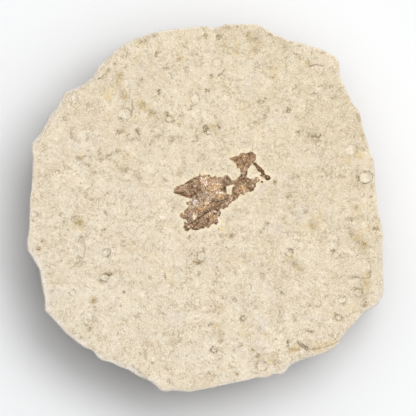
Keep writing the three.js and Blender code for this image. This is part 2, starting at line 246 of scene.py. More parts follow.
# The film's outline, clockwise from the tip of the left lobe, and its holes.
FLY_OUTLINE = [
    (-319, 159), (-305, 182), (-290, 212), (-270, 223), (-245, 229), (-215, 234), (-205, 249),
    (-185, 267), (-160, 277), (-140, 284), (-125, 299), (-105, 309), (-85, 317), (-62, 322),
    (-53, 349), (-43, 332), (-35, 317), (-25, 321), (-15, 331), (5, 332), (25, 335), (43, 329),
    (48, 317), (65, 307), (97, 327), (110, 317), (115, 302), (135, 304), (150, 309), (165, 307),
    (185, 317), (205, 329), (225, 324), (238, 309), (248, 291), (260, 275), (275, 271), (290, 274),
    (305, 285), (320, 299), (335, 314), (348, 324), (353, 337), (351, 367), (347, 387), (341, 402),
    (327, 401), (313, 411), (308, 432), (303, 447), (290, 455), (277, 467), (263, 475), (248, 483),
    (237, 495), (255, 499), (275, 509), (300, 517), (325, 519), (337, 531), (350, 542), (370, 547),
    (395, 547), (420, 547), (440, 557), (448, 569), (465, 559), (483, 549), (493, 537), (505, 525),
    (505, 507), (498, 482), (491, 462), (505, 451), (525, 431), (545, 414), (565, 394), (583, 374),
    (588, 357), (595, 339), (608, 327), (625, 329), (641, 321), (649, 304), (645, 289), (633, 277),
    (615, 276), (598, 285), (590, 302), (575, 299), (560, 311), (545, 321), (545, 332), (555, 339),
    (553, 351), (540, 359), (523, 367), (515, 387), (505, 405), (493, 419), (479, 429), (475, 445),
    (460, 437), (445, 419), (435, 404), (425, 392), (423, 367), (417, 347), (410, 332), (409, 319),
    (420, 307), (431, 297), (443, 291), (460, 289), (475, 295), (495, 299), (505, 309), (518, 312),
    (527, 301), (538, 291), (545, 282), (533, 259), (518, 257), (505, 249), (504, 232), (498, 212),
    (490, 199), (484, 185), (470, 171), (455, 161), (435, 165), (415, 162), (400, 147), (387, 132),
    (375, 132), (365, 144), (345, 142), (335, 127), (330, 107), (320, 92), (305, 87), (293, 79),
    (278, 72), (265, 71), (260, 57), (245, 44), (235, 37), (230, 15), (215, 7), (200, 5), (185, -8),
    (173, -9), (155, -3), (143, -9), (138, -23), (151, -39), (153, -58), (143, -78), (128, -86),
    (117, -91), (115, -106), (123, -121), (129, -137), (123, -153), (110, -164), (95, -161),
    (80, -153), (63, -155), (52, -169), (43, -183), (32, -198), (15, -188), (0, -193), (-15, -203),
    (-35, -205), (-55, -209), (-61, -219), (-77, -223), (-100, -218), (-120, -216), (-137, -207),
    (-152, -205), (-161, -221), (-175, -231), (-193, -229), (-209, -223), (-205, -209), (-213, -199),
    (-223, -187), (-215, -169), (-211, -148), (-213, -135), (-201, -131), (-195, -145), (-183, -155),
    (-175, -151), (-179, -138), (-187, -121), (-200, -115), (-219, -113), (-233, -99), (-247, -91),
    (-255, -77), (-250, -61), (-235, -53), (-215, -51), (-211, -33), (-200, -19), (-190, -5),
    (-175, 4), (-165, 11), (-175, 25), (-189, 37), (-189, 53), (-175, 64), (-155, 69), (-135, 69),
    (-129, 81), (-141, 95), (-160, 101), (-180, 105), (-200, 111), (-215, 117), (-235, 117),
    (-243, 129), (-255, 137), (-275, 137), (-295, 144), (-310, 151),
]
FLY_HOLES = [
    [(205, 213), (225, 221), (255, 231), (280, 237), (295, 234), (283, 217), (268, 201), (265, 177),
     (265, 157), (259, 139), (251, 129), (240, 133), (225, 134), (213, 147), (209, 167), (207, 191)],
    [(-127, -65), (-105, -51), (-93, -85), (-107, -119), (-127, -115)],
]
FLY_LOOPS = [np.array(loop) / 100 for loop in (FLY_OUTLINE, *FLY_HOLES)]
CRUMB = (5.63, 2.64, 0.11)  # a crumb of film beside the knob, in millimetres: x, y, radius

FILM_STEP = 0.036  # distance between the film's vertices
FILM_SINK = 0.09  # how far the film's underside is let into the stone

# ---- tints of the fly, as patches ----

PALE = [
    (0.6, 24.6, 2.2, 1.8, 75, -30), (-1.5, 28, 2, 1.4, 60, -40), (-4, 30.2, 1.2, 1.2, 50),
    (-10.5, 27.2, 1.3, 1.3, 60), (7, 27.2, 1, 1, 60), (-24, 19.7, 1.2, 1.5, 50),
    (-3.5, 19.4, 1.3, 1.3, 50), (-20.2, 15.2, 1, 1, 40), (-15, 1.7, 1.2, 1.2, 50),
    (-10.5, 5.7, 2.2, 3, 50), (-16.5, 5.2, 2.5, 1.5, 40), (-11.3, -8.2, 1.6, 2.6, 100, 10),
    (-3, -10.3, 0.7, 1.5, 60), (-16, -18.5, 1.8, 1), (-13, -18.3, 0.8, 0.8, 70),
    (2.8, 5.4, 1.2, 1.2, 85), (4, 6.7, 4, 0.8, 70, 50), (10.5, 8.2, 0.9, 0.9, 60),
    (16, 15.2, 1.8, 1.6, 80), (12, 14.7, 1.5, 1.5, 70), (9.5, -3.8, 2.2, 0.6, 60, 15),
    (13, -5.8, 0.8, 1.6, 60), (9, -8.8, 1.2, 1.2, 50), (4.5, -5.3, 0.8, 0.8, 60),
    (16, 2.7, 2, 0.6, 60, 45), (26, 9.7, 2.6, 0.6, 80, 61), (38.3, 51.5, 1, 1, 50),
    (47.5, 48.4, 1, 1, 40), (43.5, 48.2, 1, 1, 30), (38.6, 37.7, 1, 2.2, 30),
    (42.3, 27.1, 0.9, 0.9, 60), (40.5, 24.9, 1.2, 0.8, 40), (46.8, 22.8, 1.3, 1, 50),
    (44.2, 21.7, 0.8, 0.8, 40), (39, 19, 2, 2, 30), (39, 14.7, 1, 1, 50), (52.8, 39.4, 0.9, 0.9, 30),
    (57.5, 31.7, 1.4, 1.2, 60), (62.2, 30.5, 1, 1, 25),
]
ASH = [
    (-9, 5.7, 4.5, 4.5, 100), (-14, 2, 2, 3, 100), (-11.5, -1.8, 2, 2, 60), (-1.5, 12.2, 3.5, 3, 120),
    (0.5, 14.7, 2.5, 2, 120), (-4.5, 10.2, 2, 2, 100), (4, 11.7, 1.8, 1.8, 70),
    (5.5, 9.7, 1.4, 1.4, 60), (21, 9.7, 1.2, 1.2, 70), (22.3, 7.4, 1, 1, 60), (-16.5, -9, 3, 5),
    (38, 31.5, 5, 3, 40), (9, -4, 3, 1.2, 60, 15), (13.5, -6, 1.4, 2, 60), (3.5, 5.5, 1.5, 1.5, 50),
    (15.5, 30, 4, 1.5, 30), (0, -14, 3, 2, 40, 20), (-19, -19.5, 2.5, 1.5, 40),
]
OCHRE = [
    (10, 21.2, 4.5, 3, 65), (4.5, 17.7, 2.5, 3, 70), (14.5, 11.2, 3, 2.2, 100),
    (-5, -1.3, 4.5, 2.4, 110), (0.5, 3.2, 1.4, 2.2, 100), (6.5, 3.7, 3, 1.2, 80),
    (3.5, 29.7, 2, 3, 60), (-9, 26, 2.5, 1.5, 50, 30), (-11.5, 23.7, 3, 2, 30), (8.5, 30, 2, 1.5, 60),
    (27, 49.2, 2.5, 1.8), (30, 46.7, 2, 1.8), (33.6, 40.6, 1.6, 2, 150, -20), (36, 37, 1.5, 3),
    (46.5, 50.7, 3, 3, 50), (37, 50, 6, 4, 55), (41, 45, 4, 3, 40), (-26.5, 18.7, 2, 2, 40),
    (-19.5, -14.8, 1.4, 2, 40), (-24, -7.5, 1.8, 1.8, 70), (19.5, 0.7, 2, 1, 50),
    (-14, -17.8, 1, 1, 50), (6.5, -9.8, 1.6, 3.4, 100), (5, -12.8, 1.5, 1.5, 80),
    (38, 20, 4, 2.4, 80, 10), (41.5, 21.7, 2.4, 1.8, 50), (28, 18.7, 1, 4, 60), (19, 11.7, 1, 1, 100),
    (54, 40, 2, 6, 30, 40), (32, 14, 3, 2, 50), (60, 28, 3, 3, 60), (36, 23, 8, 9, 35),
]
RUST = [
    (-17, 12.2, 4, 1.5, 90, -12), (-5.5, 24.7, 2, 2, 40), (41, 18.7, 1, 1, 50),
    (-9.5, -16.3, 2.5, 1.5, 60, 35), (-18, -4.8, 3, 1, 60, -35), (-10, -3.3, 1, 1, 80),
    (-19.5, -18.8, 2, 1.2, 80), (0.5, 25, 2.5, 2.5, 50),
]
DARK = [
    (-5.5, 18.2, 1.1), (-8, 19.7, 0.9, 2), (2.8, 32.4, 1.2), (18.8, 20.2, 0.8, 2.2),
    (16.5, 18.7, 1, 2), (21.3, 30.2, 0.9, 2), (24.8, 26.7, 1, 2), (18.5, 25.7, 1.5),
    (49.3, 22.7, 1, 1.6), (43.8, 19.5, 0.9), (46.3, 18.9, 1), (30.5, 13.9, 1.6, 0.8),
    (27.8, 10.7, 0.9, 1.5), (26.8, 7.7, 0.9), (29.3, 8.7, 0.9), (32.3, 11.2, 0.8, 1.2),
    (42.5, 25.3, 0.8), (41.1, 26.8, 0.6), (53, 37.7, 1.1), (56.5, 36.7, 1, 2.2), (50, 44.2, 1.4),
    (53.5, 41.2, 1.5, 0.8, 90, -45), (58, 34.2, 0.9, 1.5), (61.5, 28.4, 1.8, 0.8), (59.9, 31.4, 0.8),
    (63.9, 30.5, 0.7, 1.2), (62, 32.3, 1.2, 0.6), (-17.5, -21, 1.2), (43.2, 54.3, 1), (46, 54.9, 1),
    (35, 50.2, 1), (41, 46.2, 1), (38.5, 44.2, 1), (31.3, 47.7, 1), (40.8, 34.7, 0.7, 3),
    (36, 32.2, 1.2), (38.5, 29.2, 1.5), (-1.7, -10.8, 0.9), (8.5, -5.1, 1.1), (11.2, -1.8, 1),
    (13.5, -7.8, 0.9), (-6.7, -9.8, 1.2), (-10.5, -21.3, 2, 0.8), (-3, -19.6, 2, 0.8),
    (2.5, -11.3, 1.2, 2), (11, -15.3, 1.5, 1), (-22.5, 15.2, 2.5, 1), (-27, 15.4, 2, 0.9, 50),
    (-21, 12.9, 1.1), (-13.5, 12.4, 1.2), (-13, 22.2, 1, 2), (-16.5, 25.4, 3, 0.8, 90, 20),
    (-10.2, 29.4, 1.2, 0.8), (-9, 11.2, 1, 2), (-10, 14.2, 1, 2, 90, -45), (-2.5, 8.7, 2, 1, 70),
    (-13.5, 3.7, 0.8, 3, 70), (56.3, 26.4, 1.4, 1.4, 60), (37, 26, 4.5, 3, 20), (-15, -10, 4, 5, 15),
]

# Broad regions where the film is thin and light.
LIGHT = [
    (-0.5, 26, 5, 6), (9, 22, 7, 6, 100), (14, 13, 6, 5), (3, 13, 7, 5, 80, 20), (-5, 5, 8, 7, 70),
    (-12, -1, 6, 6, 75), (3, 3, 6, 3, 50, 20), (7, -9, 6, 5, 38), (38, 18, 6, 5, 50),
    (31, 14, 5, 5, 28), (38, 38, 3, 6, 40), (30, 47, 6, 3, 40), (-22, -8, 4, 3, 50),
    (52, 28, 5, 3, 50), (22, 8, 4, 3, 40, 30), (-24, 20, 4, 4, 30),
]

# Veins and dark borders: width, strength, then the points of the line.
VEINS = [
    (3, 30, [(50, 44.2), (54, 39), (58, 34)]),
    (0.9, 100, [(-21, -19.3), (-17.5, -17.3), (-14.5, -15.3), (-10, -12.6), (-6.5, -9.8), (-2.5, -7.8),
                (1.5, -4.3), (5.5, -2.3), (9, -0.3)]),
    (0.9, 70, [(9, -0.3), (12.5, 1.7), (16.5, 4.7), (20.5, 7.2), (23.5, 8.7)]),
    (1, 100, [(6, 5.7), (8.5, 7.7), (10.5, 6.2), (13.5, 6.7), (18.5, 8.2), (22.5, 9.7)]),
    (1.1, 90, [(-12, -19.3), (-9.5, -16.3), (-6.5, -13.8)]),
    (2.5, 35, [(-3, -7), (3, -2.5), (8, 1), (13, 3.5), (19, 6.5)]),
    (0.9, 50, [(-29.5, 15.2), (-26.5, 14.7), (-21.5, 13.2), (-14, 12.2)]),
    (0.8, 80, [(-19.5, 0.7), (-15.5, -4.3), (-12.5, -7.3)]), (0.7, 80, [(-21, -3.3), (-17.5, -6.3)]),
    (0.8, 70, [(-12.5, 17.2), (-9.5, 13.7), (-7.5, 11.2)]),
    (0.7, 90, [(10.5, -1.3), (14, -3.3), (15, -5.8), (13.5, -8.3)]),
    (0.6, 90, [(7.5, -6.3), (11, -4.8)]), (0.7, 90, [(20.5, 22.2), (19.5, 18.7), (20, 15.2)]),
    (0.8, 90, [(-13.5, -20.8), (-8.5, -21.3), (-2, -19.3)]),
]
VEIN_RINGS = [(42.4, 27.2, 2, 0.6), (62.2, 30.4, 1.9, 1.1)]  # x, y, radius, width

# ---- numbers and noise ----


def smoothstep(low, high, value):
    """0 at `low`, 1 at `high` and eased between, whichever of the two is larger."""
    share = np.clip((value - low) / (high - low), 0, 1)
    return share * share * (3 - 2 * share)


def flat(x, y, z=0):
    """(n, 3) points from x, y and a height."""
    return np.stack([x, y, np.zeros_like(x) + z], axis=1)


def polar(radius, bearing, z=0):
    """(n, 3) points from distances and bearings round the slab's middle, and a height."""
    return flat(radius * np.cos(bearing), radius * np.sin(bearing), z)


def hashed(lattice, seed):
    """A repeatable number from 0 to 1 for each of (n, 3) whole-numbered lattice points."""
    mask = 0xFFFFFFFF
    key = lattice.astype(np.int64) @ (374761393, 668265263, 1440662683)
    mix = (key + (seed + SEED) * 974634777).astype(np.uint64) & mask
    for shift, factor in ((13, 1274126177), (15, 2246822519)):
        mix = (mix ^ (mix >> shift)) * factor & mask
    return (mix ^ (mix >> 16)) / mask


def noise(points, size, seed):
    """Smooth noise from -1 to 1 at (n, 3) points, with lumps about `size` across."""
    cell, part = np.divmod(points / size, 1)
    ease = part * part * part * (part * (part * 6 - 15) + 10)
    total = np.zeros(len(points))
    for corner in np.ndindex(2, 2, 2):
        weight = np.prod(np.where(corner, ease, 1 - ease), axis=1)
        total += weight * hashed(cell + corner, seed)
    return 2 * total - 1


def rough(points, size, octaves, seed):
    """Noise in several octaves, each half as large and half as strong as the one before."""
    shares = 0.5 ** np.arange(octaves)
    layers = [share * noise(points, size * share, seed + 31 * k) for k, share in enumerate(shares)]
    return sum(layers) / sum(shares)


def wobbled(points, reach, size, seed):
    """The points, pushed sideways by noise, so that a shape drawn on them turns irregular."""
    return points + flat(*(reach * rough(points, size, 2, seed + k) for k in (0, 1)))


def grains(points, size, seed):
    """Distances to the nearest and next nearest of randomly set grain centres, in `size`."""
    scaled = points[:, :2] / size
    gaps = []
    for step in np.ndindex(3, 3):
        at = np.floor(scaled) + step - 1
        jitter = np.stack([hashed(flat(*at.T, k), seed) for k in (1, 2)], axis=1)
        gaps.append(np.hypot(*(at + jitter - scaled).T))
    return np.partition(gaps, 1, axis=0)[:2]


def line_field(points, line):
    """Each point's distance to a line, its signed form and its place along, and the line's length."""
    best = np.full((3, len(points)), np.inf)
    travelled = 0
    for start, end in zip(line, line[1:]):
        ahead = np.subtract(end, start)
        length = np.hypot(*ahead)
        ahead = ahead / length
        offset = points[:, :2] - start
        reach = offset @ ahead
        side = offset @ (-ahead[1], ahead[0])
        gap = np.hypot(side, reach - np.clip(reach, 0, length))
        best = np.where(gap < best[0], (gap, side, travelled + reach), best)
        travelled += length
    return best, travelled


def gap_to(points, loops):
    """Distance from each point to the nearest of the closed outlines."""
    return np.min([line_field(points, [*loop, loop[0]])[0][0] for loop in loops], axis=0)


def gap_from(points, x, y, radius):
    """Distance from each point to a circle, less than 0 inside it; the circle is in tenths."""
    return np.hypot(points[:, 0] - x * TENTH, points[:, 1] - y * TENTH) - radius * TENTH


def inside(points, loops):
    """Whether each point lies inside the first closed outline and outside the others, its holes."""
    x, y = points[:, 0], points[:, 1]
    odd = np.zeros(len(points), bool)
    for loop in loops:
        for (x0, y0), (x1, y1) in zip(loop, [*loop[1:], loop[0]]):
            if y0 != y1:
                crosses = (y0 > y) != (y1 > y)
                odd ^= crosses & (x < (x1 - x0) * (y - y0) / (y1 - y0) + x0)
    return odd


def depth_in_fly(points):
    """How far inside the film each point lies: less than 0 outside it, -FAR beyond 1 mm."""
    low, high = FLY_LOOPS[0].min(axis=0) - 1, FLY_LOOPS[0].max(axis=0) + 1
    near = np.all((points[:, :2] > low) & (points[:, :2] < high), axis=1)
    depth = np.full(len(points), -FAR)
    sign = np.where(inside(points[near], FLY_LOOPS), 1, -1)
    depth[near] = sign * gap_to(points[near], FLY_LOOPS)
    return depth


# ---- fields of the stone's marks ----


def in_patch(points, x, y, across, along=None, strength=PLAIN_STRENGTH, tilt=0):
    """Each point's place in a patch whose rim is at 1, and the patch's strength from 0 to 1."""
    turn = math.radians(tilt)
    dx, dy = points[:, 0] - x * TENTH, points[:, 1] - y * TENTH
    u = (dx * math.cos(turn) + dy * math.sin(turn)) / (across * TENTH)
    v = (dy * math.cos(turn) - dx * math.sin(turn)) / ((along or across) * TENTH)
    return u, v, strength / 100


def spots(points, patches, seed, bend=0.09):
    """From 0 to 1 inside soft, irregular patches."""
    bent = wobbled(wobbled(points, bend, 0.3, seed), bend / 2, 0.1, seed + 40)
    total = np.zeros(len(points))
    for patch in patches:
        u, v, strength = in_patch(bent, *patch)
        total = np.maximum(total, strength * smoothstep(1.5, 0.6, np.hypot(u, v)))
    return total


def ring_field(points):
    """The place in the nearest ring with the ring's strength, and the ring's mean radius.

    The strength fades out before the next ring begins, so both parts of the place stay
    linear wherever the strength is more than nothing."""
    gaps = [gap_from(points, x, y, (across + along) / 2) for x, y, across, along, *_ in RINGS]
    nearest = np.argmin(gaps, axis=0)
    gap, following = np.partition(gaps, 1, axis=0)[:2]
    place = np.empty((len(points), 3))
    for k, ring in enumerate(RINGS):
        mine = nearest == k
        u, v, strength = in_patch(points[mine], *ring)
        place[mine] = flat(u, v, strength)
    place[:, 2] *= smoothstep(0.05, 0.3, following - gap) * smoothstep(1.2, 0.8, gap)
    return place, np.take([(ring[2] + ring[3]) * TENTH / 2 for ring in RINGS], nearest)


def stroke_field(points):
    """Distance to the nearest stroke, its signed form, and its strength, which ends with it."""
    best = np.repeat([[FAR], [FAR], [0]], len(points), axis=1)
    for percent, line in STROKES:
        (gap, side, along), length = line_field(points, TENTH * np.array(line))
        ends = smoothstep(-0.15, 0.1, along) * smoothstep(length + 0.15, length - 0.1, along)
        strength = percent / 100 * ends * smoothstep(0.5, 0.3, gap)
        best = np.where(gap < best[0], (gap, side, strength), best)
    return best.T


def stone_fields(points, on_top):
    """Every mark at the points, by name, as the material reads it; only the top has any."""
    bent = wobbled(points, 0.06, 0.5, 301)
    ring, ring_size = ring_field(bent)
    stroke = stroke_field(bent)
    ring[:, 2] *= on_top
    stroke[:, 2] *= on_top
    bright = spots(points, BRIGHTS, 311, bend=0.3)
    return {
        "ring": ring,
        "ring_size": ring_size,
        "stroke": stroke,
        "smudge": on_top * spots(points, SMUDGES, 305, bend=0.14),
        "shade": on_top * (spots(points, DULLS, 307, bend=0.3) - bright),
        "stain": on_top * spots(points, STAINS, 303, bend=0.2),
        "grey": on_top * spots(points, GREYS, 309, bend=0.25),
        "gold": on_top * spots(points, GOLDS, 313, bend=0.04),
    }


# ---- the slab's outline and faces ----


def closed_curve(corners, steps):
    """Points along a smooth closed curve through the corners."""
    share = np.linspace(0, 1, steps, endpoint=False)[:, None]
    p0, p1, p2, p3 = (np.roll(corners, k, axis=0)[:, None] for k in (1, 0, -1, -2))
    bend = 2 * p0 - 5 * p1 + 4 * p2 - p3
    twist = 3 * p1 - p0 - 3 * p2 + p3
    curve = 0.5 * (2 * p1 + (p2 - p0) * share + bend * share**2 + twist * share**3)
    return curve.reshape(-1, 2)


OUTLINE_CURVE = closed_curve(np.array(SLAB_OUTLINE) / 100, 12)


def round_value(bearing, stations, values):
    """Values given at some bearings, in radians, read at others."""
    return np.interp(bearing, stations, values, period=math.tau)


def outline_radius(bearing):
    """Distance from the middle to the outline at each bearing."""
    x, y = OUTLINE_CURVE.T
    return round_value(bearing, np.arctan2(y, x), np.hypot(x, y))


def smooth_radius(bearing):
    """The outline's distance from the middle, with its scallops evened out."""
    turns = np.linspace(0, math.tau, 360, endpoint=False)
    reach = outline_radius(turns)
    mean = sum(np.roll(reach, step) for step in range(-12, 13)) / 25
    return round_value(bearing, turns, mean)


def rim_values(bearing):
    """The lip's width, the girth's height and the foot's inset, eased from station to station."""
    table = np.array(RIM, float)
    turn = np.degrees(bearing) % 360
    following = np.searchsorted(table[:, 0], turn, side="right") % len(table)
    start, end = table[following - 1], table[following]
    span = (end[:, 0] - start[:, 0]) % 360
    share = smoothstep(0, 1, (turn - start[:, 0]) % 360 / span)[:, None]
    return (start * (1 - share) + end * share).T[1:]


def from_edge(points):
    """Each point's bearing from the middle, and its distance inwards from the outline."""
    bearing = np.arctan2(points[:, 1], points[:, 0])
    return bearing, outline_radius(bearing) - np.hypot(points[:, 0], points[:, 1])


def degrees_off(bearing, middle):
    """How many degrees each bearing lies away from the middle one, which is in degrees."""
    return np.abs((np.degrees(bearing) - middle + 180) % 360 - 180)


def disc_grid(steps):
    """A square grid bent to a unit disc: each point's reach and bearing, and the grid of indices."""
    line = np.linspace(-1, 1, steps + 1)
    across, along = np.meshgrid(line, line)
    wide = np.abs(across) > np.abs(along)
    radius, other = np.where(wide, (across, along), (along, across))
    turn = math.pi / 4 * np.divide(other, radius, out=np.zeros_like(other), where=radius != 0)
    x, y, _ = polar(radius.ravel(), np.where(wide, turn, math.pi / 2 - turn).ravel()).T
    return np.hypot(x, y), np.arctan2(y, x), np.arange(len(x)).reshape(across.shape)


def border(grid):
    """Indices round a square grid, anticlockwise from the middle of its right side."""
    ring = np.concatenate([grid[0, :-1], grid[:-1, -1], grid[-1, :0:-1], grid[:0:-1, 0]])
    return np.roll(ring, -int(np.flatnonzero(ring == grid[len(grid) // 2, -1])[0]))


def quads(grid):
    """The faces of a grid of indices."""
    corners = (grid[:-1, :-1], grid[:-1, 1:], grid[1:, 1:], grid[1:, :-1])
    return np.stack(corners, axis=-1).reshape(-1, 4)


def band(upper, lower):
    """Faces between two rings, the lower with as many points as the upper, or half as many."""
    if len(upper) == len(lower):
        return np.stack([np.roll(upper, -1), upper, lower, np.roll(lower, -1)], axis=1).tolist()
    before, middle, after = np.roll(upper, 1)[::2], upper[::2], upper[1::2]
    fan = [(before, lower, middle), (middle, lower, after), (lower, np.roll(lower, -1), after)]
    return np.transpose(fan, (2, 0, 1)).reshape(-1, 3).tolist()


# ---- the slab's surfaces ----


def bevel(at):
    """From 0 to 1 down each dip at the slab's edge, and its depth."""
    bearing, inward = from_edge(at)
    inward = inward + 0.12 * rough(at, 0.9, 2, 25)
    share, depth = np.zeros((2, len(at)))
    for middle, spread, width, drop in BEVELS:
        reach = width * smoothstep(1.3, 0.5, degrees_off(bearing, middle) / spread)
        here = smoothstep(1, 0.35, inward / np.maximum(reach, 0.05)) * smoothstep(0.05, 0.3, reach)
        share, depth = np.maximum(share, here), np.maximum(depth, drop * here)
    return share, depth


def edge_lines(points, on_top):
    """Distance in from the outline, how strongly beds crop out, and the painted edge highlight's
    strength.
    """
    bearing, inward = from_edge(points)
    # the lip rows down to this depth also take the painted highlight along the edge
    fresh = points[:, 2] > TOP - EDGE_HIGHLIGHT_DEPTH
    place = np.where(on_top > 0, inward, np.where(fresh, 0, FAR))
    share = np.zeros(len(points))
    for middle, spread, strength in LEDGES:
        reach = smoothstep(1.3, 0.6, degrees_off(bearing, middle) / spread)
        share = np.maximum(share, strength / 100 * reach)
    light = np.interp(np.degrees(bearing), *np.transpose(PAINTED_EDGE_HIGHLIGHT), period=360) / 100
    return np.column_stack([place, share * on_top, light])


def bedding_level(at):
    """Height of the bedding's slow swells over TOP."""
    return 0.05 * rough(at, 9, 2, 11) - BEDDING_DROP


def bedding(at, fields):
    """Height of the bedding face over TOP: swells, grain, pits, marks and dips at the edge."""
    lumps = 0.035 * rough(at, 1.6, 3, 12)
    near, following = grains(wobbled(at, 0.1, 0.4, 13), 0.42, 15)
    peloids = 0.015 * smoothstep(0, 0.35, following - near)
    pits = -0.06 * smoothstep(0.45, 0.75, noise(at, 0.7, 16))
    u, v, ring = fields["ring"].T
    _, side, stroke = fields["stroke"].T
    ring_gap = (np.hypot(u, v) - 1) * fields["ring_size"]
    marks = (
        -0.05 * fields["smudge"]
        + 0.05 * ring * np.exp(-((ring_gap / 0.12) ** 2))
        - 0.03 * ring * smoothstep(0, -0.2, ring_gap)
        - 0.05 * stroke * np.exp(-((side / 0.1) ** 2))
    )
    calm = smoothstep(-0.35, 0.1, depth_in_fly(at))
    fine = (lumps + peloids + pits + marks) * (1 - 0.85 * calm)
    share, drop = bevel(at)
    return bedding_level(at) + fine * (1 - 0.6 * share) - drop


def wall_inset(bearing, height):
    """How far in from the outline the wall stands, before its roughness."""
    lip, girth, foot = rim_values(bearing)
    levels = [(TOP, lip), (TOP - SHOULDER_DROP, lip * SHOULDER_SHARE), (girth, 0),
              (CHAMFER_HEIGHT, foot * CHAMFER_SHARE), (0, foot)]
    inset = lip
    for (high, at_high), (low, at_low) in zip(levels, levels[1:]):
        inset = inset + (at_low - at_high) * np.clip((high - height) / (high - low), 0, 1)
    return inset


def laminae(bearing, height):
    """How far thin beds of stone stand back from the wall, the same all round each bed."""
    level = height + 0.3 * rough(polar(3, bearing), 2, 3, 41)
    total = np.zeros(len(bearing))
    for thickness, depth, seed in BEDS:
        bed, part = np.divmod(level / thickness, 1)
        here, above = (hashed(flat(bed + k, 0 * bed), seed) for k in (0, 1))
        total += depth * (here + (above - here) * smoothstep(0.75, 1, part))
    return total


def crag(level):
    """Roughness of the broken wall, outwards."""
    large = rough(level, 3.2, 2, 21)
    hackle = 1 - 2 * np.abs(rough(level * (1, 1, 1.6), 1.3, 3, 22))
    return 0.26 * large + 0.18 * hackle + 0.09 * rough(level, 0.5, 2, 23)


def chips(bearing, height):
    """Shallow bowls that flakes left in the wall, with ridges between them, outwards."""
    away = smoothstep(2.9, 2.5, np.abs(bearing))  # from the seam at the left, where they change over
    total = np.zeros(len(bearing))
    for turn, share in ((bearing, away), (bearing % math.tau, 1 - away)):
        unrolled = wobbled(flat(MEAN_RADIUS * turn, 1.3 * height), 0.5, 1.6, 26)
        for size, depth, seed in BOWLS:
            total += share * depth * (np.minimum(grains(unrolled, size, seed)[0], 1) ** 2 - 0.3)
    return total


def wall_rows(turn, shares):
    """How far each row of the wall stands out from the outline, and the bedding face's inset.

    A row's share is its way down the wall, from 0 at the top to 1 at the foot."""
    radius, lip = outline_radius(turn), rim_values(turn)[0]
    levels = [polar(radius, turn, TOP * (1 - share)) for share in shares]
    rows = []
    for share, level in zip(shares, levels):
        height = level[:, 2]
        evened = (smooth_radius(turn) - radius) * smoothstep(0.4, 0.9, share)
        craggy = (crag(level) + chips(turn, height)) * smoothstep(0, 0.06, share) * (0.8 + 0.6 * share)
        rows.append(evened + craggy - wall_inset(turn, height) - laminae(turn, height))
    bulges = np.array(rows) - rows[0]
    edge = lip + np.abs(EDGE_ROUGHNESS * rough(levels[0], 0.5, 2, 24))
    limited = bulges * lip / bulges.max(axis=0)  # so that no bulge reaches past the outline
    return np.where(bulges > 0, limited, bulges) - edge, edge + LIP_CLEARANCE


def slab_base(ring, foot, count):
    """The hollowed base inside the ring of the foot's points: its vertices and faces."""
    reach, bearing, grid = disc_grid(len(ring) // 4)
    base = polar(reach * round_value(bearing, *foot), bearing)
    hollow = np.clip(0.16 * rough(base, 3, 4, 51) + 0.03, 0, 0.3)
    base[:, 2] = hollow * smoothstep(1, 0.96, reach)
    inner = np.ones(len(base), bool)
    inner[border(grid)] = False
    place = np.empty(len(base), int)
    place[border(grid)] = ring
    place[inner] = np.arange(count, count + inner.sum())
    return base[inner], place[quads(grid)][:, ::-1].tolist()


def slab_mesh():
    """The slab's vertices, faces and fields, from its bedding face down the wall to its base."""
    reach, bearing, grid = disc_grid(DISC_STEPS)
    ring = border(grid)
    turn = bearing[ring]
    lip_share = LIP_HEIGHT / TOP
    shares = np.concatenate([np.linspace(0, lip_share, LIP_ROWS + 1)[1:],
                             np.linspace(lip_share, 1, WALL_ROWS + 1)[1:]])
    walls, face_inset = wall_rows(turn, shares)
    edge_radius = round_value(bearing, turn, outline_radius(turn) - face_inset)
    top = polar(reach * edge_radius, bearing, TOP)
    top[:, 2] += bedding(top * (1, 1, 0), stone_fields(top, 1))

    rows = [polar(outline_radius(turn) + wall, turn, top[ring, 2] * (1 - share))
            for share, wall in zip(shares, walls)]
    rows[LIP_ROWS:] = [row[::2] for row in rows[LIP_ROWS:]]
    rows.append(rows[-1][::2] * (BASE_SHARE, BASE_SHARE, 0))
    faces, count = quads(grid).tolist(), len(top)
    for row in rows:
        below = np.arange(count, count + len(row))
        faces += band(ring, below)
        ring, count = below, count + len(row)
    foot = (turn[::4], np.hypot(*rows[-1][:, :2].T))
    base, base_faces = slab_base(ring, foot, count)

    points = np.concatenate([top, *rows, base])
    on_top = (np.arange(len(points)) < len(top)).astype(float)
    fields = stone_fields(points, on_top)
    fields["edge"] = edge_lines(points, on_top)
    fields["broken"] = np.ones(len(points))
    fields["broken"][:len(top)] = bevel(top * (1, 1, 0))[0]
    fields["wall"] = smoothstep(0, WALL_EASE, TOP - WALL_TOP - points[:, 2]) * (1 - on_top)
    fields["halo"] = smoothstep(-0.55, -0.05, depth_in_fly(points)) * on_top
    return points, faces + base_faces, fields


def in_scene(name, data):
    """A new object in the scene."""
    made = bpy.data.objects.new(name, data)
    bpy.context.scene.collection.objects.link(made)
    return made


def mesh_object(name, points, faces, fields):
    """A Blender object from vertices in millimetres, with named values per vertex."""
    mesh = bpy.data.meshes.new(name)
    mesh.from_pydata((points * MM).tolist(), [], faces)
    mesh.validate()
    mesh.shade_smooth()
    for field, values in fields.items():
        kind, key = ("FLOAT_VECTOR", "vector") if values.ndim == 2 else ("FLOAT", "value")
        layer = mesh.attributes.new(field, kind, "POINT")
        layer.data.foreach_set(key, values.astype(np.float32).ravel())
    return in_scene(name, mesh)


slab = mesh_object("slab_stone", *slab_mesh())

# ---- the fly's mesh ----


